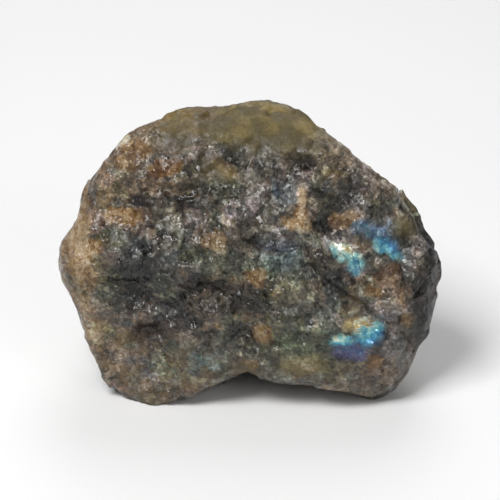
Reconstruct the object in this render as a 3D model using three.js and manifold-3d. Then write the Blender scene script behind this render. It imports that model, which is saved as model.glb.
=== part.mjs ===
// A rough chunk of labradorite, as broken from the vein: one piece of stone with a broad front face,
// which leans back over a flat base. Millimetres, +Z up, front towards -Y.
//
// The chunk is built in two steps. Its body is where a tube with the outline of the front face and a set
// of fracture planes all hold, joined by a power mean, which rounds the edges between them. Its relief is
// then pushed out along the body's own normals: a terrace, a raised block and pits of the front face, and
// a slow swell all over.
import * as THREE from "three";
import { mergeVertices } from "three/addons/utils/BufferGeometryUtils.js";
import Module from "manifold-3d";

// Driving dimensions. The middle is the middle of the rim, the outline at which the front face turns back.
const lean = 30; // degrees that the front face leans back from upright
const middleHeight = 19.2; // of the middle above the base
const heartDepth = 12; // of the point that every part of the surface can be seen from, behind the middle
const frontReach = 15; // how far in front of the rim the tube would close
const backReach = 41; // how far behind the rim the tube would close
const frontSharpness = 18; // power of the mean that joins the planes, on the face: more is a sharper edge
const backSharpness = 26; // the same on the freshly broken back
const sharpnessFade = [2, 12]; // depths behind the rim between which one gives way to the other
const surfaceDetail = 16; // subdivisions of the icosahedron that carries the surface
const farthest = 60; // from the heart, past every part of the surface
const halvings = 26; // of that distance, to find the surface
const mergeDistance = 1e-4; // under which two corners are one

// The rim: direction round the front face in degrees, anticlockwise from +X, and distance from the middle.
const rim = [
  [0, 28.2], [6, 25.4], [15, 24.7], [25, 23.0], [38, 21.4], [50, 20.2], [60, 20.0], [70, 21.5],
  [80, 23.9], [94, 22.6], [105, 22.1], [116, 23.2], [127, 24.1], [141, 27.6], [150, 25.7], [161, 25.5],
  [171, 25.4], [178, 27.5], [185, 28.6], [194, 27.2], [204, 26.7], [214, 28.0], [225, 29.6], [235, 27.7],
  [243, 24.0], [250, 21.4], [260, 18.5], [268, 17.5], [276, 18.3], [286, 19.9], [295, 21.5], [303, 24.5],
  [310, 28.2], [320, 29.7], [326, 28.8], [331, 28.2], [336, 29.0], [346, 28.9], [355, 29.9],
];
const roundedWidth = 27.5; // half-axes of the plain oval that the rim is drawn in to, behind the front face
const roundedHeight = 22.5;
const rimFade = 16; // depth over which it is drawn in

// Fracture planes: turn round the upright axis from the front towards +X, lift above the horizon, both in
// degrees, and distance from the middle.
const planes = {
  faceLeft: [-7, 33, 8.1],
  faceRight: [11, 31, 8.5],
  lowerLeft: [-7, 11, 9.1],
  lowerRight: [11, 13, 11.3],
  brow: [-3, 53, 10.95],
  crown: [2, 75, 15.3],
  shoulder: [-54, 50, 20.9],
  leftBevel: [-42, 23, 19.6],
  rightBevel: [57, 11, 23.4],
  rightSlope: [52, 48, 18.9],
  leftChin: [-19, -9, 19.6],
  rightChin: [24, -6, 20.0],
  back: [172, 6, 21.6],
  backLeft: [-134, 10, 24.0],
  backRight: [128, 14, 21.8],
  roof: [163, 36, 22.2],
  roofLeft: [-143, 42, 24.6],
  roofRight: [112, 44, 22.6],
  underBack: [176, -38, 22.8],
  underLeft: [-122, -38, 22.8],
  underRight: [120, -36, 23.6],
};

// Cleavage ledges, each a wall and a tread in the same three numbers. A point need keep to only one of the
// two, so the stone is stepped in where both are passed.
const ledges = {
  backLedge: { wall: [180, 14, 18.4], tread: [118, 66, 5.5] },
  leftLedge: { wall: [-118, 6, 21.0], tread: [-165, 55, 16.5] },
  rightLedge: { wall: [118, 22, 18.8], tread: [160, 20, 13.5] },
  lowLedge: { wall: [-156, -4, 19.2], tread: [-100, -60, 9.5] },
};
const leastShare = 0.05; // of a ledge plane's distance, so that its share stays above zero
const leastClosing = 0.1; // of the tube's width, so that it never closes to nothing

// Relief of the front face, placed by its own across and up directions. An edge's relief stands above its
// line.
const crownStep = {
  height: 0.7,
  width: 1.6,
  line: [[-30, 8], [-21, 8.5], [-11, 8], [-6.5, 11.5], [0, 16], [5, 14], [9, 12.5], [14, 14], [30, 20]],
};
const block = {
  height: 1.2,
  width: 1.6,
  start: 5,
  fade: 9,
  line: [[-30, 9], [6, 3], [9.3, -2.5], [14, -6.5], [18.5, -9.2], [21.5, -8.5], [24, -4], [30, 2]],
};
const pits = [
  { across: -16.5, up: -6.0, halfWidth: 2.8, halfHeight: 2.3, depth: 1.1 },
  { across: -11.5, up: -8.2, halfWidth: 3.0, halfHeight: 2.0, depth: 1.3 },
  { across: -6.5, up: -6.0, halfWidth: 2.6, halfHeight: 1.8, depth: 0.9 },
  { across: -15.2, up: -11.6, halfWidth: 2.6, halfHeight: 1.4, depth: 0.9 },
  { across: -1.5, up: -12.6, halfWidth: 2.2, halfHeight: 2.6, depth: 1.2 },
  { across: 10.6, up: 4.2, halfWidth: 1.6, halfHeight: 1.2, depth: 0.8 },
  { across: 12.5, up: 8.6, halfWidth: 2.2, halfHeight: 2.0, depth: 0.6 },
  { across: 22.2, up: 2.1, halfWidth: 1.5, halfHeight: 1.2, depth: 0.8 },
];
const faceFade = 5; // depth behind the rim over which the front face's relief fades in

// The slow swell: waves with their length, height, direction (turn and lift) and phase.
const swell = [
  [15, 0.25, -65, 35, 2.1],
  [11, 0.2, 75, -20, 4.0],
  [8.5, 0.15, -20, -55, 1.2],
];

const across = new THREE.Vector3(1, 0, 0);
const up = direction(180, 90 - lean);
const out = direction(0, lean);
const heart = out.clone().multiplyScalar(-heartDepth);

// The unit vector with this turn and lift.
function direction(turn, lift) {
  const [t, l] = [THREE.MathUtils.degToRad(turn), THREE.MathUtils.degToRad(lift)];
  return new THREE.Vector3(Math.sin(t) * Math.cos(l), -Math.cos(t) * Math.cos(l), Math.sin(l));
}

// The height of a broken line over x: [x, y] points in order, held level past its ends.
function along(line, x) {
  const held = THREE.MathUtils.clamp(x, line[0][0], line.at(-1)[0]);
  const i = Math.max(1, line.findIndex(([at]) => at >= held));
  const [[x0, y0], [x1, y1]] = [line[i - 1], line[i]];
  return y0 + ((y1 - y0) * (held - x0)) / (x1 - x0);
}

// The rim's distance from the middle in a direction: a cubic through its points that closes on itself.
function rimRadius(degrees) {
  const turned = ((degrees % 360) + 360) % 360;
  const count = rim.length;
  const point = (i) => {
    const [angle, distance] = rim[(i + count) % count];
    return [angle + 360 * Math.floor(i / count), distance];
  };
  let i = 0;
  while (i < count - 1 && rim[i + 1][0] <= turned) i += 1;
  const [[a0, r0], [a1, r1], [a2, r2], [a3, r3]] = [i - 1, i, i + 1, i + 2].map(point);
  const span = a2 - a1;
  const t = (turned - a1) / span;
  const slope1 = ((r2 - r0) / (a2 - a0)) * span;
  const slope2 = ((r3 - r1) / (a3 - a1)) * span;
  const start = r1 * (1 + 2 * t) + slope1 * t;
  const end = r2 * (3 - 2 * t) - slope2 * (1 - t);
  return start * (1 - t) ** 2 + end * t ** 2;
}

// A plane as a vector whose product with a point is 1 on the plane.
function planeVector([turn, lift, distance]) {
  return direction(turn, lift).divideScalar(distance);
}

const facing = Object.values(planes).map(planeVector);
const ledgeFacing = Object.values(ledges).map(({ wall, tread }) => [planeVector(wall), planeVector(tread)]);

// How full the body is at a point: under 1 inside it, 1 on its surface.
function fullness(p) {
  const [u, v, w] = [p.dot(across), p.dot(up), p.dot(out)];
  const angle = Math.atan2(v, u);
  const rimHere = rimRadius(THREE.MathUtils.radToDeg(angle));
  const oval = 1 / Math.hypot(Math.cos(angle) / roundedWidth, Math.sin(angle) / roundedHeight);
  const behind = THREE.MathUtils.smoothstep(-w, 0, rimFade);
  const radius = THREE.MathUtils.lerp(rimHere, Math.min(rimHere, oval), behind);
  const reach = w > 0 ? frontReach : backReach;
  const closing = Math.max(Math.sqrt(Math.max(1 - (w / reach) ** 2, 0)), leastClosing);
  const sharpness = THREE.MathUtils.lerp(
    frontSharpness,
    backSharpness,
    THREE.MathUtils.smoothstep(-w, ...sharpnessFade),
  );
  let sum = (Math.hypot(u, v) / (radius * closing)) ** sharpness;
  for (const plane of facing) sum += Math.max(plane.dot(p), 0) ** sharpness;
  for (const pair of ledgeFacing) {
    const [wall, tread] = pair.map((plane) => Math.max(plane.dot(p), leastShare) ** -sharpness);
    sum += 1 / (wall + tread);
  }
  return sum ** (1 / sharpness);
}

// The body's surface along a ray from the heart.
function surfacePoint(ray) {
  let [near, far] = [0, farthest];
  for (let i = 0; i < halvings; i += 1) {
    const half = (near + far) / 2;
    if (fullness(heart.clone().addScaledVector(ray, half)) < 1) near = half;
    else far = half;
  }
  return heart.clone().addScaledVector(ray, near);
}

// The body's outward normal: the direction in which the fullness grows.
function normalAt(p) {
  const reach = 0.05;
  const rise = (axis) =>
    fullness(p.clone().addScaledVector(axis, reach)) - fullness(p.clone().addScaledVector(axis, -reach));
  return new THREE.Vector3(
    rise(new THREE.Vector3(1, 0, 0)),
    rise(new THREE.Vector3(0, 1, 0)),
    rise(new THREE.Vector3(0, 0, 1)),
  ).normalize();
}

// How far an edge's relief has risen at a point this far above its line, from 0 to 1.
function risen({ width }, above) {
  return THREE.MathUtils.smoothstep(above, -width / 2, width / 2);
}

function crownRelief(u, v) {
  return crownStep.height * risen(crownStep, v - along(crownStep.line, u));
}

// The block is highest at its lower edge and sinks back into the face above it.
function blockRelief(u, v) {
  const above = v - along(block.line, u);
  const within = THREE.MathUtils.smoothstep(u, block.start - block.width, block.start + block.width);
  return block.height * within * risen(block, above) * (1 - THREE.MathUtils.smoothstep(above, 0, block.fade));
}

function pitRelief(u, v) {
  let depth = 0;
  for (const pit of pits) {
    const away = ((u - pit.across) / pit.halfWidth) ** 2 + ((v - pit.up) / pit.halfHeight) ** 2;
    depth += pit.depth * Math.exp(-away);
  }
  return -depth;
}

function swellRelief(p) {
  let sum = 0;
  for (const [length, height, turn, lift, phase] of swell) {
    sum += height * Math.sin((2 * Math.PI * p.dot(direction(turn, lift))) / length + phase);
  }
  return sum;
}

function relief(p) {
  const [u, v, w] = [p.dot(across), p.dot(up), p.dot(out)];
  const front = THREE.MathUtils.smoothstep(w, 0, faceFade);
  return front * (crownRelief(u, v) + blockRelief(u, v) + pitRelief(u, v)) + swellRelief(p);
}

// A geometry's corners without its normals and texture places, merged where they meet.
function mergedCorners(geometry) {
  const bare = new THREE.BufferGeometry().setAttribute("position", geometry.getAttribute("position"));
  if (geometry.index) bare.setIndex(geometry.index);
  return mergeVertices(bare, mergeDistance);
}

function closedSolid(wasm, geometry) {
  const merged = mergedCorners(geometry);
  const mesh = new wasm.Mesh({
    numProp: 3,
    vertProperties: merged.attributes.position.array,
    triVerts: new Uint32Array(merged.index.array),
  });
  return new wasm.Manifold(mesh);
}

function geometryOf(solid) {
  const mesh = solid.getMesh();
  const places = new Float32Array(mesh.numVert * 3);
  for (let i = 0; i < mesh.numVert; i += 1) {
    places.set(mesh.vertProperties.subarray(i * mesh.numProp, i * mesh.numProp + 3), i * 3);
  }
  return new THREE.BufferGeometry()
    .setAttribute("position", new THREE.BufferAttribute(places, 3))
    .setIndex(new THREE.BufferAttribute(mesh.triVerts, 1));
}

// The surface carried by an icosahedron whose corners slide out along their rays.
function chunkGeometry() {
  const geometry = mergedCorners(new THREE.IcosahedronGeometry(1, surfaceDetail));
  const position = geometry.getAttribute("position");
  const ray = new THREE.Vector3();
  for (let i = 0; i < position.count; i += 1) {
    const p = surfacePoint(ray.fromBufferAttribute(position, i).normalize());
    p.addScaledVector(normalAt(p), relief(p));
    position.setXYZ(i, p.x, p.y, p.z);
  }
  return geometry;
}

// The block under the base plane, which is taken off so that the chunk rests flat.
function underBase() {
  const size = 4 * farthest;
  return new THREE.BoxGeometry(size, size, size).translate(0, 0, -middleHeight - size / 2);
}

const wasm = await Module();
wasm.setup();
const solid = closedSolid(wasm, chunkGeometry()).subtract(closedSolid(wasm, underBase()));
const geometry = geometryOf(solid);
geometry.computeBoundingBox();
const { min, max } = geometry.boundingBox;

const stone = new THREE.Mesh(
  geometry,
  new THREE.MeshStandardMaterial({ name: "labradorite", color: 0x6a655d, roughness: 0.55, metalness: 0 }),
);
stone.name = "labradorite_chunk";
// The origin is under the box's middle.
stone.position.set(-(min.x + max.x) / 2, -(min.y + max.y) / 2, -min.z);

const chunk = new THREE.Group();
chunk.add(stone);
export default chunk;
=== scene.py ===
# A rough chunk of labradorite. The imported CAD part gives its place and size, and this script its broken
# surface, its grain and its colours.
import math
from types import SimpleNamespace

import bpy
import numpy as np
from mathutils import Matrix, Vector


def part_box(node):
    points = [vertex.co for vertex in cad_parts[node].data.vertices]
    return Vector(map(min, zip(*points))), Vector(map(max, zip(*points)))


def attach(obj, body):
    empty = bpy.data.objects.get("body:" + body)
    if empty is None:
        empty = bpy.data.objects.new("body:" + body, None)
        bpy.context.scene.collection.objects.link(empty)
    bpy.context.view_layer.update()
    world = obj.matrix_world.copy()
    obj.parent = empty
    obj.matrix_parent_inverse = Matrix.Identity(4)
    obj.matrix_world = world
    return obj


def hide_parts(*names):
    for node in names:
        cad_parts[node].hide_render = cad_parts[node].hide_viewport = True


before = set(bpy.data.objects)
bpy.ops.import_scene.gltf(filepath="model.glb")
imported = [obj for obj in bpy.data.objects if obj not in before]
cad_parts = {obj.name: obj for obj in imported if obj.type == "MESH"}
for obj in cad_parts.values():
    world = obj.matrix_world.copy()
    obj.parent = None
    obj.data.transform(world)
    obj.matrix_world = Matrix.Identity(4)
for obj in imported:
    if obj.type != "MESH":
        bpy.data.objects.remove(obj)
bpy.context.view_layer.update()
print("frame loaded")

mm = 0.001  # everything below is in millimetres until it goes into a mesh

# the body, measured from the middle of its rim, with the CAD part's numbers; angles are in degrees
chunk = {
    "node": "labradorite_chunk",
    "gridCount": 128,  # quads along each side of each of the surface's six grids
    "middleHeight": 19.2,  # of the rim's middle over the base
    "baseFade": 1.5,  # the relief dies away over this distance under the base
    "lean": 30,  # of the front face, back from upright
    "heartDepth": 12,  # behind the rim, of the point that the surface is looked for from
    "frontReach": 15,  # how far the tube on the rim goes before it closes, to the front and to the back
    "backReach": 41,
    "leastClosing": 0.01,  # squared, of the tube beyond its reach
    "leastShare": 0.05,  # of a ledge's plane
    "sharpness": 18,  # of the edges round the face, of those behind, and the depths between which it changes
    "sharpnessBehind": 40,
    "sharpnessFade": (2, 12),
    "rim": [  # degrees round the front face from its right, and distance
        (0, 28.2), (6, 25.4), (15, 24.7), (25, 23.0), (38, 21.4), (50, 20.2), (60, 20.0), (70, 21.5),
        (80, 23.9), (94, 22.6), (105, 22.1), (116, 23.2), (127, 24.1), (141, 27.6), (150, 25.7),
        (161, 25.5), (171, 25.4), (178, 27.5), (185, 28.6), (194, 27.2), (204, 26.7), (214, 28.0),
        (225, 29.6), (235, 27.7), (243, 24.0), (250, 21.4), (260, 18.5), (268, 17.5), (276, 18.3),
        (286, 19.9), (295, 21.5), (303, 24.5), (310, 28.2), (320, 29.7), (326, 28.8), (331, 28.2),
        (336, 29.0), (346, 28.9), (355, 29.9),
    ],
    "roundedWidth": 27.5,  # the oval that the rim's bays fill up to behind, over the depth of the fade
    "roundedHeight": 22.5,
    "rimFade": 16,
    "planes": {  # turn from the front towards +X, lift above the horizon, distance
        "faceLeft": (-7, 33, 8.1),
        "faceRight": (11, 31, 8.5),
        "lowerLeft": (-7, 11, 9.1),
        "lowerRight": (11, 13, 11.3),
        "brow": (-3, 53, 10.95),
        "crown": (2, 75, 15.3),
        "shoulder": (-54, 50, 20.9),
        "leftBevel": (-42, 23, 19.6),
        "rightBevel": (57, 11, 23.4),
        "rightSlope": (52, 48, 18.9),
        "leftChin": (-19, -9, 19.6),
        "rightChin": (24, -6, 20.0),
        "back": (172, 6, 21.6),
        "backLeft": (-134, 10, 24.0),
        "backRight": (128, 14, 21.8),
        "roof": (163, 36, 22.2),
        "roofLeft": (-143, 42, 24.6),
        "roofRight": (112, 44, 22.6),
        "underBack": (176, -38, 22.8),
        "underLeft": (-122, -38, 22.8),
        "underRight": (120, -36, 23.6),
    },
    "ledges": {  # a wall and a tread: a point need keep to only one of the two
        "backLedge": ((180, 14, 18.4), (118, 66, 5.5)),
        "leftLedge": ((-118, 6, 21.0), (-165, 55, 16.5)),
        "rightLedge": ((118, 22, 18.8), (160, 20, 13.5)),
        "lowLedge": ((-156, -4, 19.2), (-100, -60, 9.5)),
    },
}


# 0 up to low, 1 from high on, and between them 3 t squared less 2 t cubed, for the part t of the way
def smoothstep(x, low, high):
    part = np.clip((x - low) / (high - low), 0, 1)
    return part * part * (3 - 2 * part)


# the unit vector with this turn from the front towards +X and this lift above the horizon
def direction(turn, lift):
    t, l = math.radians(turn), math.radians(lift)
    return np.array([math.sin(t) * math.cos(l), -math.cos(t) * math.cos(l), math.sin(l)])


acrossWay = np.array([1.0, 0.0, 0.0])
upWay = direction(180, 90 - chunk["lean"])
outWay = direction(0, chunk["lean"])
heart = -chunk["heartDepth"] * outWay


# across, up and out of each point: its dot products with the face's own three directions
def faceCoordinates(p):
    return p @ acrossWay, p @ upWay, p @ outWay


# distance of the rim in a direction: a closed curve of cubics through its points, and its slope at each
# point is that of the line between the point's two neighbours
def rimRadius(degrees):
    angle, radius = np.array(chunk["rim"], float).T
    angle = np.concatenate([angle[-2:] - 360, angle, angle[:3] + 360])
    radius = np.concatenate([radius[-2:], radius, radius[:3]])
    slope = np.zeros_like(radius)
    slope[1:-1] = (radius[2:] - radius[:-2]) / (angle[2:] - angle[:-2])
    turned = np.mod(degrees, 360)
    i = np.searchsorted(angle, turned, side="right") - 1
    span = angle[i + 1] - angle[i]
    t = (turned - angle[i]) / span
    return (
        radius[i] * (1 + 2 * t) * (1 - t) ** 2 + slope[i] * span * t * (1 - t) ** 2
        + radius[i + 1] * t * t * (3 - 2 * t) - slope[i + 1] * span * t * t * (1 - t)
    )


facing = np.array([direction(t, l) / d for t, l, d in chunk["planes"].values()])
ledgeFacing = np.array([[direction(t, l) / d for t, l, d in pair] for pair in chunk["ledges"].values()])


# how sharp the body's edges are at each depth: soft round the face, crisp on the broken back
def sharpnessAt(w):
    front, behind = chunk["sharpness"], chunk["sharpnessBehind"]
    return front + (behind - front) * smoothstep(-w, *chunk["sharpnessFade"])


# each bound's share of a point, 1 on that bound: for the tube on the rim, the distance from its axis over
# its radius; for a plane, the distance along its normal over the plane's own; for a ledge, the smaller of
# its two planes' shares, by a power mean
def shares(p):
    u, v, w = faceCoordinates(p)
    angle = np.arctan2(v, u)
    rim = rimRadius(np.degrees(angle))
    oval = 1 / np.hypot(np.cos(angle) / chunk["roundedWidth"], np.sin(angle) / chunk["roundedHeight"])
    behind = smoothstep(-w, 0, chunk["rimFade"])
    radius = rim * (1 - behind) + np.minimum(rim, oval) * behind
    reach = np.where(w > 0, chunk["frontReach"], chunk["backReach"])
    closing = np.sqrt(np.maximum(1 - (w / reach) ** 2, chunk["leastClosing"]))
    tube = np.hypot(u, v) / (radius * closing)
    walls = np.maximum(p @ ledgeFacing[:, 0].T, chunk["leastShare"])
    treads = np.maximum(p @ ledgeFacing[:, 1].T, chunk["leastShare"])
    k = sharpnessAt(w)[:, None]
    return np.column_stack([tube, np.maximum(p @ facing.T, 0), (walls**-k + treads**-k) ** (-1 / k)])


# how full the body is at each point, 1 on its surface: the power mean of the shares, which rounds its edges
def fullness(p):
    k = sharpnessAt(faceCoordinates(p)[2])
    return (shares(p) ** k[:, None]).sum(1) ** (1 / k)


# the body's surface along rays from the heart: each stretch that it lies in is halved again and again
def surfacePoints(rays, farthest=60.0, halvings=24):
    near, far = np.zeros(len(rays)), np.full(len(rays), farthest)
    for _ in range(halvings):
        half = (near + far) / 2
        inside = fullness(heart + rays * half[:, None]) < 1
        near, far = np.where(inside, half, near), np.where(inside, far, half)
    return heart + rays * near[:, None]


# outward normals: the way in which the fullness grows, from its change over a short reach along each axis
def normalsAt(p, reach=0.05):
    n = np.stack([fullness(p + reach * axis) - fullness(p - reach * axis) for axis in np.eye(3)], 1)
    return n / np.linalg.norm(n, axis=1, keepdims=True)


# the lattice that the noises and the crystals are laid on
lattice = {
    "rows": 4096,  # of random numbers, a power of two
    "primes": (73856093, 19349663, 83492791),
    "jitter": 0.42,  # how far a crystal's middle strays from its cell's, in cells
}

# size in mm and random seed of each noise
waves = {
    "lines": (5, 3), "crown": (8, 11), "terraces": (6, 13), "steps": (7, 14), "swell": (14, 21),
    "swellFine": (6, 22), "crystals": (4, 31), "rough": (10, 61), "chips": (4.5, 81), "chipsFine": (2.0, 82),
    "colours": (3, 91),
}


# a row of random numbers for each cell: its three whole numbers times three primes, combined bit by bit
def latticeRow(i, j, k):
    first, second, third = lattice["primes"]
    return (i * first ^ j * second ^ k * third) & (lattice["rows"] - 1)


# gradient noise, about -0.7 to 0.7: each of a cell's eight corners has a slope of its own, and the heights
# that they give are eased into each other by 6 t to the fifth less 15 t to the fourth plus 10 t cubed
def noise(p, size, seed):
    slopes = np.random.default_rng(seed).uniform(-1, 1, (lattice["rows"], 3))
    low = np.floor(p / size).astype(np.int64)
    part = p / size - low
    ease = part**3 * (part * (part * 6 - 15) + 10)
    total = np.zeros(len(p))
    for corner in np.ndindex(2, 2, 2):
        weight = np.prod(np.where(corner, ease, 1 - ease), 1)
        total += weight * ((part - corner) * slopes[latticeRow(*(low + corner).T)]).sum(1)
    return total


# a vector of three noises with seeds in a row
def noiseVector(p, size, seed):
    return np.stack([noise(p, size, seed + i) for i in range(3)], 1)


# crystals: cells round jittered lattice points, nearest by the cube root of the sum of cubes. Each is a
# cleavage face at the height of the dot product with a tilt of its own, plus a lift. Where two meet, their
# heights are blended by the exponential of how much nearer one is. Gives the height, the middle of each
# point's own crystal, that crystal's random marks, and how far along its cleavage the point is
def crystals(p, size, tilt, lift, hardness, seed):
    rng = np.random.default_rng(seed)
    jitter = rng.uniform(-lattice["jitter"], lattice["jitter"], (lattice["rows"], 3))
    tilts = rng.normal(0, 1, (lattice["rows"], 3))
    tilts /= np.linalg.norm(tilts, axis=1, keepdims=True)
    lifts = rng.uniform(-1, 1, lattice["rows"])
    marks = rng.uniform(0, 1, (lattice["rows"], 3))
    low = np.floor(p / size).astype(np.int64)
    near, heights, rows, centres = [], [], [], []
    for offset in np.ndindex(3, 3, 3):
        cell = low + offset - 1
        row = latticeRow(*cell.T)
        centre = cell + 0.5 + jitter[row]
        away = p / size - centre
        near.append((np.abs(away) ** 3).sum(1) ** (1 / 3))
        heights.append((away * tilts[row]).sum(1) * tilt * size + lifts[row] * lift)
        rows.append(row)
        centres.append(centre * size)
    near, heights = np.array(near), np.array(heights)
    weight = np.exp((near.min(0) - near) * hardness)
    nearest = near.argmin(0), np.arange(len(p))
    own, centre = np.array(rows)[nearest], np.array(centres)[nearest]
    along = ((p - centre) * np.roll(tilts[own], 1, 1)).sum(1)
    height = (weight * heights).sum(0) / weight.sum(0)
    return SimpleNamespace(height=height, centre=centre, marks=marks[own], along=along)


# turn from the front and lift above the middle of each point, in degrees
def bearings(p):
    turn = np.degrees(np.arctan2(p[:, 0], -p[:, 1])) % 360
    return turn, np.degrees(np.arctan2(p[:, 2], np.hypot(p[:, 0], p[:, 1])))


# a point's place in a turned ellipse: turned back and divided by the half sizes, so that the rim is at 1
def inEllipse(u, v, across, up, halfWidth, halfHeight, turn):
    c, s = math.cos(math.radians(turn)), math.sin(math.radians(turn))
    return ((u - across) * c + (v - up) * s) / halfWidth, ((v - up) * c - (u - across) * s) / halfHeight


# how much of a patch each point has: in each ellipse its strength up to the inner rim, falling to 0 at the
# outer one, with the distance taken as the cube root of the sum of cubes, and the greatest of them all
def patchMask(u, v, ellipses, outer, inner):
    mask = np.zeros(len(u))
    for *where, strength in ellipses:
        x, y = inEllipse(u, v, *where)
        away = (np.abs(x) ** 3 + np.abs(y) ** 3) ** (1 / 3)
        mask = np.maximum(mask, strength * smoothstep(-away, -outer, -inner))
    return mask


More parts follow.
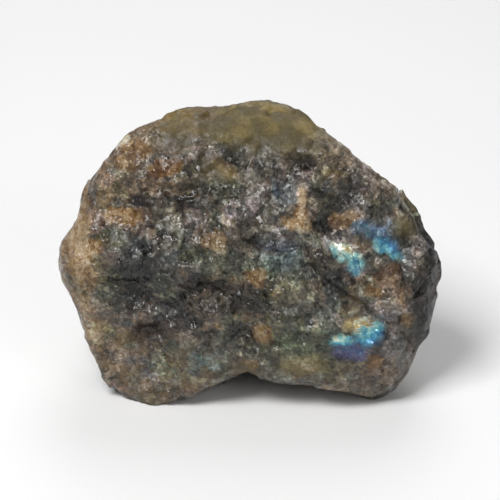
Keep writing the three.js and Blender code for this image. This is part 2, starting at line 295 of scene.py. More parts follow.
# colours that lie on the front face: across, up, half width, half height, turn in degrees, strength
patches = {
    "olive": [
        (1.5, 19.0, 9.5, 5.0, -4, 1.0), (-8.5, 18.0, 5.5, 3.0, 22, 0.75), (6.8, -16.7, 3.4, 1.4, 0, 0.5),
        (-4.5, 11.4, 2.6, 1.4, -15, 0.7), (-1.0, -16.4, 2.0, 1.0, 0, 0.6), (21.8, 3.3, 2.0, 1.4, -30, 0.7),
    ],
    "brown": [
        (-16.0, 11.5, 8.5, 6.0, 35, 1.0), (-23.5, 0.0, 3.4, 10.0, 5, 0.9), (9.0, 13.0, 9.0, 2.8, -28, 1.0),
        (-14.0, 8.2, 10.0, 3.0, 0, 1.0), (14.0, 7.5, 5.0, 4.5, -20, 0.6), (18.9, -4.2, 4.4, 3.6, -30, 1.0),
        (-21.0, -12.0, 3.0, 7.0, 20, 0.8), (-4.0, -5.5, 6.0, 2.4, 0, 0.7), (1.5, -11.0, 2.6, 2.4, 0, 0.7),
        (-6.0, 1.5, 3.0, 2.4, 0, 0.6),
    ],
    "green": [
        (3.0, -6.5, 6.0, 4.0, 0, 0.6), (6.8, -13.5, 7.0, 4.4, 0, 0.9), (-8.0, -15.5, 5.0, 3.0, 0, 0.8),
        (-20.0, -4.5, 3.0, 3.6, 0, 0.6), (-4.0, 8.5, 3.0, 2.0, 0, 0.5), (-8.0, 0.0, 6.0, 3.0, 0, 0.3),
    ],
    "ochre": [
        (-18.2, 5.0, 2.6, 1.4, 0, 1.0), (-22.8, 0.4, 1.6, 1.3, 30, 1.0), (-12.3, 11.7, 2.4, 1.2, 10, 0.9),
        (-16.6, 13.8, 3.0, 1.8, 35, 0.85), (-4.0, 11.9, 2.2, 0.8, -25, 0.7), (-5.3, 1.5, 1.6, 1.4, 0, 0.5),
        (6.3, 3.9, 2.2, 0.9, -8, 1.0), (6.8, 5.4, 0.9, 1.2, 0, 1.0), (7.1, 7.8, 0.45, 2.0, 0, 1.0),
        (13.0, 4.6, 2.2, 1.1, 20, 0.7), (0.4, -3.8, 1.3, 1.0, 0, 0.8), (1.4, -11.3, 1.4, 1.3, 0, 0.65),
        (17.3, -15.6, 1.0, 1.3, 0, 0.8), (18.5, -4.0, 1.6, 1.2, -30, 0.35),
        (19.5, -2.6, 1.2, 1.0, -30, 0.4), (17.0, -5.8, 1.4, 0.9, -30, 0.7), (0.0, -16.0, 1.0, 0.8, 0, 0.6),
        (22.0, -10.0, 0.8, 1.4, 20, 0.8), (-23.6, -3.4, 1.6, 2.4, 0, 0.5), (14.2, -10.2, 1.8, 1.0, 10, 0.9),
        (-24.8, 1.5, 1.5, 5.5, 0, 0.8), (-20.5, 8.0, 1.6, 1.0, 40, 0.4),
    ],
    # mostly painted shade: darker in the pits, under the ledges of the upper left block, the raised block and
    # the crown's step, and down the right side that turns away from the light; a few only darken the stone's
    # own colour
    "dark": [
        (-16.5, -6.0, 3.2, 2.6, 0, 1.0), (-11.5, -8.2, 3.2, 2.6, 0, 1.0), (-6.5, -6.2, 3.0, 2.2, 0, 0.9),
        (-14.5, -11.6, 3.6, 1.6, 0, 1.0), (-1.5, -12.4, 2.4, 2.6, 0, 0.8), (10.6, 4.2, 1.4, 1.1, 0, 0.9),
        (12.7, 8.8, 2.4, 2.4, 0, 0.5), (-17.0, 14.2, 3.4, 2.6, 35, 0.5), (18.9, -4.2, 4.0, 3.2, -30, 0.25),
        (1.4, -11.3, 1.6, 1.4, 0, 0.35), (22.3, 1.6, 1.5, 0.7, -15, 0.9), (6.7, 13.0, 3.2, 1.0, -10, 0.7),
        (-2.0, -7.0, 4.5, 2.4, 0, 0.6), (13.0, -5.6, 3.4, 1.2, -38, 0.9), (-14.0, 7.0, 7.0, 0.9, 0, 0.8),
        (-12.3, 11.7, 3.0, 1.6, 10, 0.6), (-3.5, 13.4, 2.6, 1.2, 0, 0.8), (-11.0, 14.2, 1.6, 2.0, 0, 0.5),
        (25.8, -6.0, 2.6, 8.0, -8, 1.3), (-12.0, -6.0, 9.0, 5.5, 0, 0.8), (19.0, -17.0, 3.5, 2.5, 0, 0.4),
        (9.0, -1.5, 2.0, 1.6, -40, 0.5), (-14.0, 10.6, 5.0, 0.7, 8, 0.5), (4.0, -8.0, 3.5, 2.0, 0, 0.3),
    ],
    "slate": [
        (4.3, -0.9, 3.0, 2.4, 0, 1.0), (4.6, 8.6, 1.7, 2.4, 0, 0.9), (-7.3, -15.2, 3.0, 1.8, 0, 0.8),
        (-16.1, -17.1, 2.6, 1.8, 0, 0.7), (18.1, 3.4, 3.2, 1.1, -10, 1.0), (13.2, -14.6, 2.2, 0.9, 0, 0.9),
        (-9.0, 14.5, 1.4, 1.8, 0, 0.5), (15.0, 3.0, 1.4, 0.8, -20, 0.8), (22.4, -3.4, 1.0, 1.6, 0, 0.7),
    ],
    # mostly paler grains; the spot on the left shoulder and the bands along the top edge, over to the upper
    # right rim, are painted highlights where those faces catch the light
    "pale": [
        (-11.0, 4.4, 1.0, 3.4, 20, 0.8), (0.2, 10.0, 1.6, 1.8, 40, 0.9), (3.1, 2.9, 0.9, 0.45, 0, 1.4),
        (6.2, 2.4, 3.0, 2.6, 0, 0.55), (6.9, 6.6, 0.5, 2.6, 0, 1.0), (6.3, 3.9, 1.6, 0.8, -8, 0.8),
        (-18.2, 15.0, 1.2, 0.8, 20, 1.5), (11.2, 0.8, 1.4, 0.9, 0, 0.9), (-3.5, 4.4, 8.0, 4.4, 0, 0.1),
        (2.0, 21.6, 7.5, 0.9, -2, 1.0), (12.0, -13.2, 1.2, 0.7, 0, 0.7), (-3.6, 4.6, 0.9, 0.6, 40, 1.2),
        (-7.2, 4.4, 0.7, 0.9, 0, 0.7), (11.0, 10.0, 0.8, 2.6, 30, 0.5), (23.6, 0.0, 1.2, 0.4, 0, 0.8),
        (15.4, -3.0, 2.6, 0.5, -40, 0.6), (20.8, -6.6, 1.8, 0.6, 45, 0.6), (-9.0, -11.4, 4.0, 0.3, 25, 0.7),
        (-15.0, -9.2, 2.6, 0.25, 10, 0.7), (-16.0, -16.5, 5.0, 3.4, 0, 0.3),
        (-7.3, -15.2, 2.4, 1.4, 0, 0.35), (18.1, 3.3, 2.6, 1.1, -10, 0.4), (6.8, -15.0, 3.4, 2.2, 0, 0.9),
        (-24.5, 2.0, 1.8, 5.0, 0, 0.5), (-21.0, -9.0, 3.4, 4.0, 0, 0.6), (17.0, 11.0, 9.0, 0.9, -38, 0.7),
        (-10.0, -1.5, 4.0, 2.0, 0, 0.3), (8.0, 17.0, 2.6, 1.2, -35, 0.45),
    ],
}

# where each colour fades, from the ellipses' rims outwards and inwards
patchBands = {
    "olive": (1.5, 0.5), "brown": (1.6, 0.3), "green": (1.6, 0.3), "dark": (1.4, 0.5),
    "ochre": (1.25, 0.7), "slate": (1.3, 0.6), "pale": (1.25, 0.7),
}

# what stands out from the body or is let into it, by the face's across and up directions
relief = {
    "wander": 1.2,  # how far the lines below stray
    "faceFade": 5,  # height over the rim at which the face's own relief is whole
    "deepFade": (4, 10),  # depths behind the rim between which the back's comes in
    "crownStep": {  # the crown overhangs the face below this line, by its height times a level and a wave
        "height": 0.6,
        "width": 0.6,
        "level": 0.7,
        "wave": 1.2,
        "line": [
            (-30, 8), (-21, 8.5), (-11, 8), (-6.5, 11.5), (0, 16), (5, 14), (9, 12.5), (14, 14), (30, 20),
        ],
    },
    "block": {  # the raised block that carries the flashes, highest at its lower edge
        "height": 1.5,
        "width": 0.7,
        "start": 6,
        "startWidth": 2,
        "fade": 9,
        "line": [
            (-30, 9), (6, 3), (9.3, -2.5), (14, -6.5), (18.5, -9.2), (21.5, -8.5), (24, -4), (30, 2),
        ],
    },
    "pits": [  # across, up, half width, half height, depth
        (-16.5, -5.8, 2.8, 2.1, 1.7), (-11.5, -8.2, 2.8, 1.9, 2.0), (-6.5, -6.2, 2.4, 1.7, 1.4),
        (-15.2, -11.6, 2.6, 1.3, 1.4), (-1.5, -12.4, 2.0, 2.0, 1.0), (10.6, 4.2, 1.6, 1.2, 0.9),
        (12.5, 8.6, 2.2, 2.0, 0.7), (22.2, 2.1, 1.5, 1.2, 0.9), (6.7, 13.0, 2.4, 1.2, 0.7),
        (-14.0, 9.0, 4.0, 0.8, 0.6),
    ],
    "terraces": {
        "patch": (-16.0, 8.8, 8.0, 3.2, 4, 1), "band": (1.3, 0.5), "rise": 0.50, "tread": 1.1, "slant": 0.12,
        "waver": 0.25,
    },
    "steps": [  # cleavage behind: an ellipse of turns and lifts, the way it climbs, its rise and tread
        (142, 34, 26, 15, 20, (100, 70), 0.8, 2.0),
        (228, 26, 24, 17, -15, (300, 25), 0.7, 1.7),
        (184, -6, 30, 10, 0, (200, -80), 0.9, 2.3),
        (92, 20, 13, 20, 0, (20, 30), 0.5, 1.5),
    ],
    "stepBand": (1.2, 0.8),  # bands are where a patch is gone and whole, with its rim at 1
    "stepWaver": 0.4,  # how unevenly the steps are spaced, in steps
    "swell": (0.5, 0.3),  # heights of the coarse and the fine one
    "crystalWander": 0.6,  # how far the crystals' outlines stray
    "crystals": {  # size, tilt of the faces, height between them, hardness of the edges, random seed
        "large": (7.5, 0.17, 0.30, 34, 41),
        "middle": (3.4, 0.25, 0.17, 34, 42),
        "small": (1.4, 0.26, 0.08, 30, 43),
        "block": (9.5, 0.17, 0.9, 110, 44),
    },
    "blockSink": 0.6,  # how far the blocks of the back lie in
    "glassBand": (1.5, 0.6),
    "cleavedShare": (0.50, 0.52),  # blocks marked above this are smooth cleavage faces
    "cleavedFade": (4, 7),  # depths behind the rim between which they come in
    "rimCalm": (0.65, 0.5, 6, 2),  # the grain is lower by this share, near this depth, within these distances
    "outlineCalm": (0.6, -2, 12, 4),
    # how far crystals are flattened, by place, and the least that the others keep of their height, by place
    "flattened": {"largeFront": 0.1, "largeGlass": 0.7, "glass": 0.93, "cleaved": 0.88},
    "least": {"rough": 0.45, "middleRough": 0.4, "middleBehind": 0.7, "smallRim": 0.5, "smallBehind": 0.6},
    "roughBand": (-0.25, 0.25),  # of the noise, between smooth and rough stretches
    "edgeBand": (0.004, 0.036),  # of how far the greatest share is under 1, which it is on rounded edges
    "chips": (0.9, 0.45),  # depths of the coarse and the fine bites out of the edges
    "cornerBand": (0.84, 0.97),  # of the second greatest share over the greatest
    "cornerLow": 0.2,  # where two fracture planes meet, the relief is let down towards this depth
    "cornerShare": 0.9,
}


# a stair at each place along its climb: it rises over each whole number, then drops back from the brink on
def stair(place, rise, brink=0.85):
    part = place % 1
    return rise * (part - 0.5 - smoothstep(part, brink, 1))


# from the least where a mask is 0 to 1 where it is 1
def atLeast(least, mask):
    return least + (1 - least) * mask


# how much of the grain's height is kept: 1 less the share, which is whole within the near distance from a
# depth and gone past the far one
def calmNear(w, share, depth, far, near):
    return 1 - share * smoothstep(np.abs(w - depth), far, near)


# how far each point is above a line of corners across the face
def aboveLine(u, v, line):
    return v - np.interp(u, *zip(*line))


# the front face's relief: the crown's step, a block that falls away above its lower edge, less a
# bell-shaped hollow for each pit, plus the stair of the terraces
def faceRelief(p, u, v):
    step, block, terraces = relief["crownStep"], relief["block"], relief["terraces"]
    edge = smoothstep(aboveLine(u, v, step["line"]), -step["width"] / 2, step["width"] / 2)
    height = step["height"] * edge * (step["level"] + step["wave"] * noise(p, *waves["crown"]))
    above = aboveLine(u, v, block["line"])
    raised = smoothstep(above, -block["width"] / 2, block["width"] / 2)
    raised *= 1 - smoothstep(above, 0, block["fade"])
    begun = smoothstep(u - block["start"], -block["startWidth"] / 2, block["startWidth"] / 2)
    height += block["height"] * raised * begun
    for across, up, halfWidth, halfHeight, depth in relief["pits"]:
        height -= depth * np.exp(-(((u - across) / halfWidth) ** 2) - ((v - up) / halfHeight) ** 2)
    climb = (v + terraces["slant"] * u) / terraces["tread"] + terraces["waver"] * noise(p, *waves["terraces"])
    return height + stair(climb, terraces["rise"]) * patchMask(u, v, [terraces["patch"]], *terraces["band"])


# the other sides' relief: the stair of each patch of cleavage steps, along the way that they climb
def backRelief(p):
    turn, lift = bearings(p)
    height = np.zeros(len(p))
    for *where, climb, rise, tread in relief["steps"]:
        place = p @ direction(*climb) / tread + relief["stepWaver"] * noise(p, *waves["steps"])
        height += stair(place, rise) * patchMask(turn, lift, [(*where, 1)], *relief["stepBand"])
    return height


# the broken surface's height over the body: the face's and the back's own relief, a swell, four sizes of
# crystals, flatter on glassy and cleaved faces, along the rim and near the outline, less the bites out of
# the edges. Where two planes meet behind, it is let down, or the edge would bulge. Gives also the crystals,
# the edges and cleaved faces
def broken(p):
    u, v, w = faceCoordinates(p + noiseVector(p, *waves["lines"]) * relief["wander"])
    front, deep = smoothstep(w, 0, relief["faceFade"]), smoothstep(-w, *relief["deepFade"])
    height = front * faceRelief(p, u, v) + (1 - front) * backRelief(p)
    coarse, fine = relief["swell"]
    height += coarse * noise(p, *waves["swell"]) + fine * noise(p, *waves["swellFine"])

    q = p + noiseVector(p, *waves["crystals"]) * relief["crystalWander"]
    grains = {name: crystals(q, *numbers) for name, numbers in relief["crystals"].items()}
    least, flattened = relief["least"], relief["flattened"]
    glassy = patchMask(u, v, patches["olive"], *relief["glassBand"]) * front
    cleaved = smoothstep(grains["block"].marks[:, 0], *relief["cleavedShare"])
    cleaved *= (1 - front) * smoothstep(-w, *relief["cleavedFade"])
    rimCalm, outlineCalm = calmNear(w, *relief["rimCalm"]), calmNear(w, *relief["outlineCalm"])
    rough = atLeast(least["rough"], smoothstep(noise(p, *waves["rough"]), *relief["roughBand"]))
    calm = (1 - flattened["glass"] * glassy) * (1 - flattened["cleaved"] * cleaved)

    kept = (1 - flattened["largeFront"] * front) * (1 - flattened["largeGlass"] * glassy)
    height += outlineCalm * grains["large"].height * kept
    height += outlineCalm * (grains["block"].height - relief["blockSink"] * deep) * (1 - front)
    kept = rimCalm * atLeast(least["middleRough"], rough) * atLeast(least["middleBehind"], front)
    height += grains["middle"].height * kept * calm
    kept = rough * atLeast(least["smallRim"], rimCalm) * atLeast(least["smallBehind"], front)
    height += grains["small"].height * kept * calm

    ranked = np.sort(shares(p), 1)
    edge = smoothstep(1 - ranked[:, -1], *relief["edgeBand"])
    coarse, fine = relief["chips"]
    bite = coarse * noise(p, *waves["chips"]) + fine * noise(p, *waves["chipsFine"])
    height -= edge * np.maximum(bite, 0) * rimCalm
    corner = smoothstep(ranked[:, -2] / ranked[:, -1], *relief["cornerBand"]) * deep
    height -= np.maximum(height, -relief["cornerLow"]) * relief["cornerShare"] * corner
    return height, grains, edge, cleaved


# colours of the other sides, by turn from the front and lift above the middle, in degrees
backPatches = {
    "olive": [
        (150, 62, 40, 10, 0, 0.6), (60, 55, 16, 8, 0, 0.5), (255, -18, 18, 10, 0, 0.5),
    ],
    "brown": [
        (95, 30, 22, 16, 20, 0.8), (215, 38, 26, 12, -20, 0.8), (270, 10, 18, 26, 0, 0.7),
        (160, -20, 40, 8, 0, 0.6),
    ],
    "green": [
        (130, 0, 24, 18, 0, 0.7), (240, 14, 18, 16, 0, 0.6),
    ],
    "ochre": [
        (100, 44, 9, 5, 30, 0.8), (206, 50, 12, 4, 10, 0.8), (262, 30, 6, 8, 0, 0.7),
        (148, 12, 5, 3, 0, 0.8), (226, -8, 7, 4, 20, 0.7), (84, -6, 5, 6, 0, 0.6),
        (186, -24, 10, 3, 0, 0.6), (278, -12, 5, 7, 0, 0.7),
    ],
    "dark": [
        (175, 20, 16, 4, 0, 0.8), (120, 20, 6, 12, 20, 0.6), (250, -4, 9, 7, 0, 0.7),
        (200, -14, 16, 6, 0, 0.6),
    ],
    "slate": [
        (190, 30, 20, 12, 0, 0.7), (112, 8, 14, 12, 0, 0.8), (230, 22, 14, 9, 0, 0.7),
        (160, -4, 18, 8, 0, 0.6),
    ],
    "pale": [
        (170, 40, 14, 5, -20, 0.6), (244, 40, 8, 6, 0, 0.6), (134, -14, 12, 5, 10, 0.5),
        (216, 6, 10, 4, 0, 0.5),
    ],
}

# sheets of blue and gold play, a painted sheen: the labradorite's flash, which shows only where the light
# meets its layers at the right angle, put into the base colour. The patches' numbers, then the colours of the
# upper and the lower side, from 0 for violet to 1 for gold
flashes = [
    (12.6, -0.1, 2.2, 1.2, -35, 0.8, 0.88, 0.70),
    (14.5, -1.7, 1.5, 1.6, -10, 0.8, 0.70, 0.50),
    (19.4, 0.7, 2.4, 0.9, -32, 0.9, 0.38, 0.62),
    (16.6, -11.7, 2.4, 1.4, 28, 0.95, 0.66, 0.36),
    (14.6, -10.2, 2.2, 1.0, 8, 0.7, 1.00, 0.95),
    (12.3, -12.7, 1.6, 0.9, 10, 1.0, 0.80, 0.50),
    (13.8, -14.2, 2.9, 1.1, 5, 0.55, 0.20, 0.00),
    (16.6, 3.1, 2.4, 1.0, -20, 0.35, 0.30, 0.45),
]
backFlashes = [
    (196, 30, 30, 11, 14, 0.9, 0.85, 0.30),
    (120, 6, 15, 17, -25, 0.9, 0.60, 0.15),
    (236, 2, 15, 10, 10, 0.8, 0.90, 0.45),
]

# how the colours lie on the crystals
marking = {
    "follow": 0.45,  # how far the patches follow the small crystals' outlines
    "wander": 0.6,  # how far the patches' outlines stray
    "frontFade": (-2.5, 0.5),  # heights over the rim between which the back's colours give way
    "toneShares": (0.45, 0.35, 0.2),  # of the small, the middle and the large crystals
    "blockTone": (-0.12, 0.3),  # the back's least, and how much its blocks add
    "flashShare": (0.50, 0.52),  # behind, only crystals marked above this flash
    "leastFlash": 0.6,
    "sheetWay": (60, 50),  # turn and lift of the blocks' cleavage sheets
    "rimDepth": (1.0, 4.5, 0.5),  # the tan rim, partly stain and partly painted highlight where the upper left edge faces the light: its middle, and the distances where it ends and is whole
    "rimAcross": (-24.5, -20),  # minus the place across where the stain ends and is whole
    "rimUp": (-18, -8),  # below these it drops to the least
    "leastRim": 0.5,
    "hollow": (0.6, 0.25),  # painted shade in the hollows: the middle crystals' part in a hollow, and the depth of a full one
}


# strength of the play of colour at each point, which falls from the sheets' inner rims to their outer ones,
# and its place on the colour ramp, eased from each sheet's lower side to its upper
def flashMask(u, v, sheets, outer=1.3, inner=0.6, side=0.9):
    mask, play = np.zeros(len(u)), np.full(len(u), 0.5)
    for *where, strength, upper, lower in sheets:
        x, y = inEllipse(u, v, *where)
        own = strength * smoothstep(-np.hypot(x, y), -outer, -inner)
        play = np.where(own > mask, lower + (upper - lower) * smoothstep(y, -side, side), play)
        mask = np.maximum(mask, own)
    return mask, play


# the numbers that the material reads at each point. The patches are looked up part of the way to the middle
# of each point's small crystal, and the front's and the back's are mixed by the height over the rim
def surfaceMarks(body, grains, edge, cleaved):
    small, middling, large, block = (grains[name] for name in ("small", "middle", "large", "block"))
    q = body * (1 - marking["follow"]) + small.centre * marking["follow"]
    q += noiseVector(body, *waves["colours"]) * marking["wander"]
    u, v, w = faceCoordinates(q)
    front = smoothstep(w, *marking["frontFade"])
    turn, lift = bearings(q)
    marks = {}
    for name, ellipses in patches.items():
        seen = patchMask(u, v, ellipses, *patchBands[name])
        behind = patchMask(turn, lift, backPatches[name], *patchBands[name])
        marks[name] = seen * front + behind * (1 - front)
    flash, play = flashMask(u, v, flashes)
    flashBehind, playBehind = flashMask(turn, lift, backFlashes)
    flashBehind *= smoothstep(middling.marks[:, 2], *marking["flashShare"])
    flashBehind *= atLeast(marking["leastFlash"], small.marks[:, 2])
    marks["flash"] = flash * front + flashBehind * (1 - front)
    marks["play"] = np.where(front > 0.5, play, playBehind)
    tones = zip(marking["toneShares"], (small, middling, large))
    least, blockShare = marking["blockTone"]
    marks["tone"] = sum(share * grain.marks[:, 0] for share, grain in tones)
    marks["tone"] += (1 - front) * (least + blockShare * block.marks[:, 1])
    marks["hue"] = middling.marks[:, 1]
    marks["along"] = middling.along
    marks["edge"] = edge
    marks["cleaved"] = cleaved
    marks["sheet"] = ((body - block.centre) * direction(*marking["sheetWay"])).sum(1)
    across, up, out = faceCoordinates(body)
    # the tan band along the upper left rim: partly stain, partly painted highlight on the edge that faces the
    # light
    depth, end, whole = marking["rimDepth"]
    rim = smoothstep(np.abs(out - depth), end, whole) * smoothstep(-across, *marking["rimAcross"])
    marks["rim"] = rim * atLeast(marking["leastRim"], smoothstep(up, *marking["rimUp"]))
    # darker where the crystals sink: painted shade in the hollows between them
    share, full = marking["hollow"]
    marks["hollow"] = smoothstep(-(small.height + middling.height * share), 0, full)
    return marks


# rays through the grids of a cube's six sides, each a function of two angles, and the quads between them. A
# grid point's place on its side is the tangents of the two angles, and points on a shared edge are made one
def cubeSphere(count):
    s = np.tan(np.linspace(-1, 1, count + 1) * math.pi / 4)
    a, b = np.meshgrid(s, s, indexing="ij")
    sides = []
    for axis in range(3):
        for sign in (1, -1):
            grid = np.zeros((count + 1, count + 1, 3))
            grid[..., axis] = sign
            grid[..., (axis + 1) % 3] = a * sign
            grid[..., (axis + 2) % 3] = b
            sides.append(grid.reshape(-1, 3))
    points = np.concatenate(sides)
    row = np.arange(count)
    corner = (row[:, None] * (count + 1) + row[None, :]).ravel()
    quad = np.stack([corner, corner + count + 1, corner + count + 2, corner + 1], 1)
    quads = np.concatenate([quad + side * (count + 1) ** 2 for side in range(6)])
    _, first, inverse = np.unique(np.round(points, 6), axis=0, return_index=True, return_inverse=True)
    rays = points[first]
    return rays / np.linalg.norm(rays, axis=1, keepdims=True), inverse.reshape(-1)[quads]


# a flat base: points under it are drawn back to it along their lines to the heart
def cutBase(p, heart):
    drop = np.maximum(heart[2] - p[:, 2], heart[2])
    cut = heart + (p - heart) * (heart[2] / drop)[:, None]
    cut[:, 2] = np.maximum(p[:, 2], 0)
    return cut


# a smooth-shaded mesh in the scene, from points in mm and rows of four corners
def putMesh(name, p, quads):
    mesh = bpy.data.meshes.new(name)
    mesh.vertices.add(len(p))
    mesh.vertices.foreach_set("co", (p * mm).astype(np.float32).ravel())
    mesh.loops.add(quads.size)
    mesh.loops.foreach_set("vertex_index", quads.astype(np.int32).ravel())
    mesh.polygons.add(len(quads))
    mesh.polygons.foreach_set("loop_start", np.arange(0, quads.size, quads.shape[1], dtype=np.int32))
    mesh.update(calc_edges=True)
    mesh.validate()
    mesh.polygons.foreach_set("use_smooth", np.ones(len(quads), bool))
    piece = bpy.data.objects.new(name, mesh)
    bpy.context.scene.collection.objects.link(piece)
    return piece


# one number for each point, which the material can read
def putAttribute(piece, name, values):
    piece.data.attributes.new(name, "FLOAT", "POINT").data.foreach_set("value", values.astype(np.float32))


rays, quads = cubeSphere(chunk["gridCount"])
body = surfacePoints(rays)
height, grains, edge, cleaved = broken(body)
corners = np.array(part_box(chunk["node"])) / mm
middle = (corners.sum(0) - body.min(0) - body.max(0)) / 2  # the body is centred in the CAD part's box
middle[2] = chunk["middleHeight"]
height *= smoothstep(body[:, 2] + middle[2], -chunk["baseFade"], 0)
points = cutBase(body + normalsAt(body) * height[:, None] + middle, heart + middle)
stone = putMesh("rough_chunk", points, quads)
print("chunk surface made,", len(points), "points")
marks = surfaceMarks(body, grains, edge, cleaved)
for name, values in marks.items():
    putAttribute(stone, name, values)
print("chunk marked,", len(marks), "attributes")


# a shader socket that Python's operators work on
class Shade:
    def __init__(self, tree, socket=None):
        self.tree, self.socket = tree, socket

    # a node of this type: its settings are set first, then its sockets' values or links
    def node(self, kind, settings=None, inputs=None, output=0):
        made = self.tree.nodes.new(kind)
        for name, value in (settings or {}).items():
            if name == "stops":
                fillRamp(made.color_ramp, value)
            else:
                setattr(made, name, value)
        for name, value in (inputs or {}).items():
            if isinstance(value, Shade):
                self.tree.links.new(value.socket, made.inputs[name])
            else:
                made.inputs[name].default_value = value
        return Shade(self.tree, made.outputs[output])

    def calculate(self, operation, *values):
        return self.node("ShaderNodeMath", {"operation": operation}, dict(enumerate(values)))

    def __add__(self, other):
        return self.calculate("ADD", self, other)

    def __sub__(self, other):
        return self.calculate("SUBTRACT", self, other)

    def __rsub__(self, other):
        return self.calculate("SUBTRACT", other, self)

    def __mul__(self, other):
        return self.calculate("MULTIPLY", self, other)

    __radd__, __rmul__ = __add__, __mul__

    # start up to low and end from high on, eased between them
    def between(self, low, high, start=0.0, end=1.0):
        settings = {"interpolation_type": "SMOOTHSTEP"}
        return self.node("ShaderNodeMapRange", settings, {0: self, 1: low, 2: high, 3: start, 4: end})

    # this much of the second colour over the first
    def mix(self, first, second):
        return self.node("ShaderNodeMix", {"data_type": "RGBA"}, {0: self, 6: first, 7: second}, 2)

    # the colour times this much of a tint
    def tinted(self, amount, tint):
        settings = {"data_type": "RGBA", "blend_type": "MULTIPLY"}
        return self.node("ShaderNodeMix", settings, {0: amount, 6: self, 7: tint}, 2)


# the stops of a colour ramp: places from 0 to 1 and colours
def fillRamp(ramp, stops):
    while len(ramp.elements) < len(stops):
        ramp.elements.new(0.5)
    for element, (place, colour) in zip(ramp.elements, stops):
        element.position, element.color = place, (*colour, 1)


# the stone's colours, as linear red, green and blue
finish = {
    # greys of the broken feldspar, from its crevices to its brightest grains
    "shadow": (0.006, 0.0055, 0.0045),
    "deep": (0.028, 0.0255, 0.0205),
    "middling": (0.098, 0.089, 0.071),
    "light": (0.240, 0.222, 0.185),
    "pale": (0.620, 0.600, 0.550),
    # tints that multiply them
    "plain": (1.0, 1.0, 1.0),
    "greenish": (0.80, 1.0, 0.74),
    "brownish": (1.26, 1.0, 0.74),
    "bluish": (0.72, 0.96, 1.26),
    "lilac": (1.12, 0.90, 1.14),
    # stains and the glassy crown
    "rust": (0.120, 0.052, 0.016),
    "ochre": (0.270, 0.148, 0.044),
    "tan": (0.500, 0.370, 0.220),
    "moss": (0.038, 0.028, 0.003),
    "olive": (0.080, 0.056, 0.004),
    "gold": (0.205, 0.145, 0.026),
    # play of colour, a painted sheen
    "indigo": (0.09, 0.08, 0.24),
    "blue": (0.05, 0.15, 0.36),
    "azure": (0.06, 0.31, 0.48),
    "aqua": (0.28, 0.64, 0.62),
    "cream": (0.78, 0.86, 0.70),
    "straw": (0.66, 0.53, 0.24),
}

# the material's own grain. Facets: size in mm, turns in radians. Clouds: size in mm, detail, roughness,
# distortion. Bands: how many to a mm, detail
texture = {
    "fine": (0.95, (0.3, 0.5, 0.9)),
    "tiny": (0.34, (1.1, 0.2, -0.6)),
    "facetStretch": 0.6,
    "facetWobble": (0.7, 0.35),  # its size and strength, in facets
    "speckle": (0.45, 3, 0.75),
    "thread": (1.5, 2, 0.5, 0.8),
    "threadGaps": (5, 1),
    "stain": (4, 4, 0.65),
    "rimStainAndHighlight": (2.5,),
    "glass": (4.5, 3, 0.5),
    "play": (0.9, 3),
    "lamella": (2.2, 2),
    "sheets": (1.6, 3),
}

# what each part adds to a number of the material
weights = {
    "level": {
        "tone": 0.60, "fine": 0.22, "tiny": 0.24, "speckle": 0.44, "lamella": 0.22, "pale": 0.28,
        # the dark patches and the hollows take the greys down: painted shade, with some of the stone's own
        # darker colour
        "dark": -0.30, "hollow": -0.12, "edge": 0.04, "thread": 0.20,
    },
    "fleck": {"fine": 0.25, "tiny": 0.15, "speckle": 0.6, "pale": 0.20, "dark": -0.25},
    "glass": {"cloud": 0.7, "speckle": 0.3, "pale": 0.20, "dark": -0.25},
    "bump": {"fine": 0.55, "tiny": 0.45, "lamella": 0.10, "speckle": 0.06},
    "grainGloss": {"fine": 0.20, "tiny": 0.14},
    "gloss": {"olive": -0.12, "flash": 0.12, "cleaved": 0.18},
}

# how strongly each marking colours or shapes the stone, and between which values of its noise it comes in
look = {
    "leastLevel": -0.41,  # of the greys, before anything is added
    "tints": {"crystals": 0.48, "facets": 0.28, "brown": 0.8, "green": 0.9},
    "threadWidth": (0.004, 0.022),  # thin pale veins
    "threadShare": (0.45, 0.6),
    "stainTone": 0.3,  # rust stains, and the rim's stain and painted highlight
    "stainShare": (0.74, 0.92),
    "stain": 0.4,
    "ochre": 0.85,
    "rimShare": (0.35, 0.6),
    "rim": 0.7,
    "cleanPale": (1.0, 1.3),  # patches this pale carry no stain, so that the painted highlight on the shoulder shows white
    "olive": 0.9,
    "playWaver": 0.8,  # how unevenly the play of colour runs, and how its sheets are banded
    "flashBands": (0.26, 0.46, 0.25),
    "ruggedOlive": 0.88,  # how far the fine relief is flattened on the glassy crown and on cleaved faces
    "ruggedCleaved": 0.7,
    "sheetHeight": 0.5,
    "shineShare": (0.5, 0.65),
    "roughness": 0.48,
    "flashMetal": 0.3,
    "refraction": 1.56,
}


# a named colour, opaque
def colour(name):
    return (*finish[name], 1)


# the colour of a number on a ramp of named colours, each at its place in hundredths
def ramp(s, level, **stops):
    places = [(at / 100, finish[name]) for name, at in stops.items()]
    return s.node("ShaderNodeValToRGB", {"stops": places}, {0: level}, "Color")


# soft noise from 0 to 1, a size in mm across
def cloud(s, place, size, detail=3, roughness=0.6, distortion=0.0):
    inputs = {"Vector": place, "Scale": 1 / size, "Detail": detail, "Roughness": roughness}
    return s.node("ShaderNodeTexNoise", {}, {**inputs, "Distortion": distortion}, "Fac")


# noise along a distance alone, for the thin sheets that the stone cleaves into
def bands(s, distance, number, detail):
    inputs = {"W": distance, "Scale": number, "Detail": detail}
    return s.node("ShaderNodeTexNoise", {"noise_dimensions": "1D"}, inputs, "Fac")


# the sum of the parts, each times its weight
def weighted(kind, **parts):
    terms = [part * weights[kind][name] for name, part in parts.items()]
    return sum(terms[1:], terms[0])


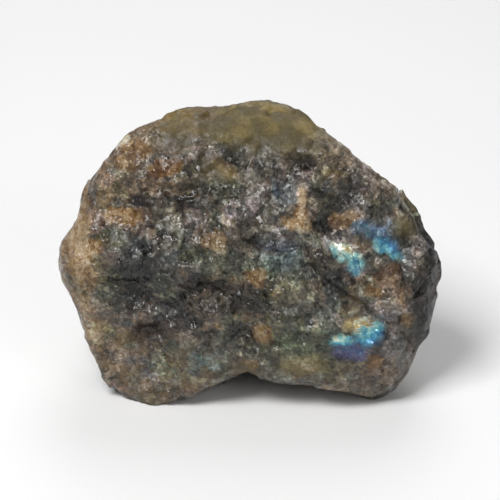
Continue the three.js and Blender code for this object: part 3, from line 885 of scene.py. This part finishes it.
# small cleavage faces: Voronoi cells, each a plane through its own middle at the height of the dot product
# with a tilt, which is its random colour less a half
def facets(s, place, size, turn):
    wobbleSize, strength = texture["facetWobble"]
    inputs = {"Vector": place, "Scale": wobbleSize / size, "Detail": 2}
    wobble = s.node("ShaderNodeTexNoise", {}, inputs, "Color")
    wobble = s.node("ShaderNodeVectorMath", {"operation": "SCALE"}, {0: wobble, "Scale": strength})
    scale = (1 / size, texture["facetStretch"] / size, 1 / size)
    turned = s.node("ShaderNodeMapping", {}, {"Vector": place, "Rotation": turn, "Scale": scale})
    at = s.node("ShaderNodeVectorMath", {"operation": "ADD"}, {0: turned, 1: wobble})
    cells = {"Vector": at, "Scale": 1.0, "Exponent": 3.0}
    centre = s.node("ShaderNodeTexVoronoi", {"distance": "MINKOWSKI"}, cells, "Position")
    mark = Shade(s.tree, centre.socket.node.outputs["Color"])
    away = s.node("ShaderNodeVectorMath", {"operation": "SUBTRACT"}, {0: at, 1: centre})
    tilt = s.node("ShaderNodeVectorMath", {"operation": "SUBTRACT"}, {0: mark, 1: (0.5, 0.5, 0.5)})
    height = s.node("ShaderNodeVectorMath", {"operation": "DOT_PRODUCT"}, {0: away, 1: tilt}, "Value") * size
    tone, shine, hue = (s.node("ShaderNodeSeparateColor", {}, {0: mark}, channel) for channel in range(3))
    return SimpleNamespace(height=height, tone=tone, shine=shine.between(*look["shineShare"]), hue=hue)


# broken feldspar: greys by the level that the crystals, facets, specks, painted shade and painted highlights
# add up to, tinted crystal by crystal and patch by patch, then the stains, the glassy crown and the play of
# colour over it, a painted sheen
def stoneMaterial(marks):
    material = bpy.data.materials.new("broken_labradorite")
    material.use_nodes = True
    tree = material.node_tree
    shader = tree.nodes["Principled BSDF"]
    s = Shade(tree)
    a = SimpleNamespace()
    for name in marks:
        setattr(a, name, s.node("ShaderNodeAttribute", {"attribute_name": name}, output="Fac"))
    metres = s.node("ShaderNodeTexCoord", output="Object")
    place = s.node("ShaderNodeMapping", {}, {"Vector": metres, "Scale": (1 / mm, 1 / mm, 1 / mm)})
    fine, tiny = facets(s, place, *texture["fine"]), facets(s, place, *texture["tiny"])
    speckle = cloud(s, place, *texture["speckle"])
    lamella = bands(s, a.along, *texture["lamella"])
    sheets = bands(s, a.sheet, *texture["sheets"])
    thread = s.calculate("ABSOLUTE", cloud(s, place, *texture["thread"]) - 0.5)
    gaps = cloud(s, place, *texture["threadGaps"]).between(*look["threadShare"])
    thread = (1 - thread.between(*look["threadWidth"])) * gaps

    level = weighted(
        "level", tone=a.tone, fine=fine.tone, tiny=tiny.tone, speckle=speckle, lamella=lamella,
        pale=a.pale, dark=a.dark, hollow=a.hollow, edge=a.edge, thread=thread,
    )
    base = ramp(s, level + look["leastLevel"], shadow=0, deep=22, middling=50, light=74, pale=100)
    tints = look["tints"]
    for mark, strength in ((a.hue, tints["crystals"]), (fine.hue, tints["facets"])):
        tint = ramp(s, mark, greenish=8, plain=32, brownish=50, lilac=68, bluish=90)
        base = base.tinted(strength, tint)
    base = base.tinted(a.brown * tints["brown"], colour("brownish"))
    base = base.tinted(a.green * tints["green"], colour("greenish"))
    base = base.tinted(a.slate, colour("bluish"))

    stain = (cloud(s, place, *texture["stain"]) + a.tone * look["stainTone"]).between(*look["stainShare"])
    rimStainAndHighlight = a.rim * cloud(s, place, *texture["rimStainAndHighlight"]).between(*look["rimShare"])
    warm = s.calculate("MAXIMUM", a.ochre * look["ochre"], stain * look["stain"])
    warm = s.calculate("MAXIMUM", warm, rimStainAndHighlight * look["rim"])
    warm = warm * (1 - a.pale.between(*look["cleanPale"]))
    fleck = weighted("fleck", fine=fine.tone, tiny=tiny.tone, speckle=speckle, pale=a.pale, dark=a.dark)
    base = warm.mix(base, ramp(s, fleck, rust=30, ochre=50, tan=72))
    clouded = cloud(s, place, *texture["glass"])
    glass = weighted("glass", cloud=clouded, speckle=speckle, pale=a.pale, dark=a.dark)
    base = (a.olive * look["olive"]).mix(base, ramp(s, glass, moss=34, olive=50, gold=66))
    play = a.play + (cloud(s, place, *texture["play"]) - 0.5) * look["playWaver"]
    glow = ramp(s, play, indigo=0, blue=25, azure=50, aqua=70, cream=86, straw=100)
    # the flash painted into the base colour: painted sheen, with some real gloss from the metallic and
    # smoother shader
    base = (a.flash * lamella.between(*look["flashBands"])).mix(base, glow)

    rugged = (1 - a.olive * look["ruggedOlive"]) * (1 - a.cleaved * look["ruggedCleaved"])
    bumps = weighted("bump", fine=fine.height, tiny=tiny.height, lamella=lamella, speckle=speckle) * rugged
    bumps = bumps + sheets * a.cleaved * look["sheetHeight"]
    normal = s.node("ShaderNodeBump", {}, {"Strength": 1.0, "Distance": mm, "Height": bumps})
    gloss = weighted("grainGloss", fine=fine.shine, tiny=tiny.shine) * rugged
    gloss = gloss + weighted("gloss", olive=a.olive, flash=a.flash, cleaved=a.cleaved * (1 - a.olive))
    tree.links.new(base.socket, shader.inputs["Base Color"])
    tree.links.new(normal.socket, shader.inputs["Normal"])
    tree.links.new((look["roughness"] - gloss).socket, shader.inputs["Roughness"])
    tree.links.new((a.flash * look["flashMetal"]).socket, shader.inputs["Metallic"])
    shader.inputs["IOR"].default_value = look["refraction"]
    return material


stone.data.materials.append(stoneMaterial(marks))
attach(stone, "root")
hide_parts(chunk["node"])
print("stone finished")

# the stage: a pale floor, soft lights, and a long lens that looks down on the leaning face; in metres
studio = {
    "floor": (0.9, 0.9, 0.9),
    "floorReach": 1.0,
    "world": 0.16,
    "lens": 250,
    "distance": 0.5,
    "aim": (0, -3.3, 18.2),  # in mm
    "lights": {  # turn, lift, distance and width in metres, power in watts
        "key": (-50, 60, 0.5, 0.22, 2.2),
        "back": (172, 44, 0.5, 0.30, 0.75),
        "fill": (42, 30, 0.6, 0.30, 0.5),
    },
}


# a new object in the scene with this data
def addObject(name, data):
    made = bpy.data.objects.new(name, data)
    bpy.context.scene.collection.objects.link(made)
    return made


# puts something at a distance from the aim, looking back at it
def lookFrom(made, turn, lift, distance):
    away = direction(turn, lift)
    made.location = np.array(studio["aim"]) * mm + away * distance
    made.rotation_euler = Vector(-away).to_track_quat("-Z", "Y").to_euler()


# a square floor through the origin
def putFloor():
    reach = studio["floorReach"]
    mesh = bpy.data.meshes.new("floor")
    corners = [(-reach, -reach, 0), (reach, -reach, 0), (reach, reach, 0), (-reach, reach, 0)]
    mesh.from_pydata(corners, [], [(0, 1, 2, 3)])
    material = bpy.data.materials.new("pale_floor")
    material.use_nodes = True
    material.node_tree.nodes["Principled BSDF"].inputs["Base Color"].default_value = (*studio["floor"], 1)
    mesh.materials.append(material)
    addObject("floor", mesh)


# a camera in front, as far above the horizon as the face leans back
def putCamera():
    lens = bpy.data.cameras.new("camera")
    lens.lens = studio["lens"]
    camera = addObject("camera", lens)
    lookFrom(camera, 0, chunk["lean"], studio["distance"])
    bpy.context.scene.camera = camera


# square lights that look at the aim, and an even white world
def putLights():
    for name, (turn, lift, distance, width, power) in studio["lights"].items():
        light = bpy.data.lights.new(name, "AREA")
        light.size = width
        light.energy = power
        lookFrom(addObject(name, light), turn, lift, distance)
    world = bpy.data.worlds.new("world")
    world.use_nodes = True
    world.node_tree.nodes["Background"].inputs["Color"].default_value = (1, 1, 1, 1)
    world.node_tree.nodes["Background"].inputs["Strength"].default_value = studio["world"]
    bpy.context.scene.world = world
    bpy.context.scene.view_settings.view_transform = "Standard"


putFloor()
putCamera()
putLights()
print("stage set")
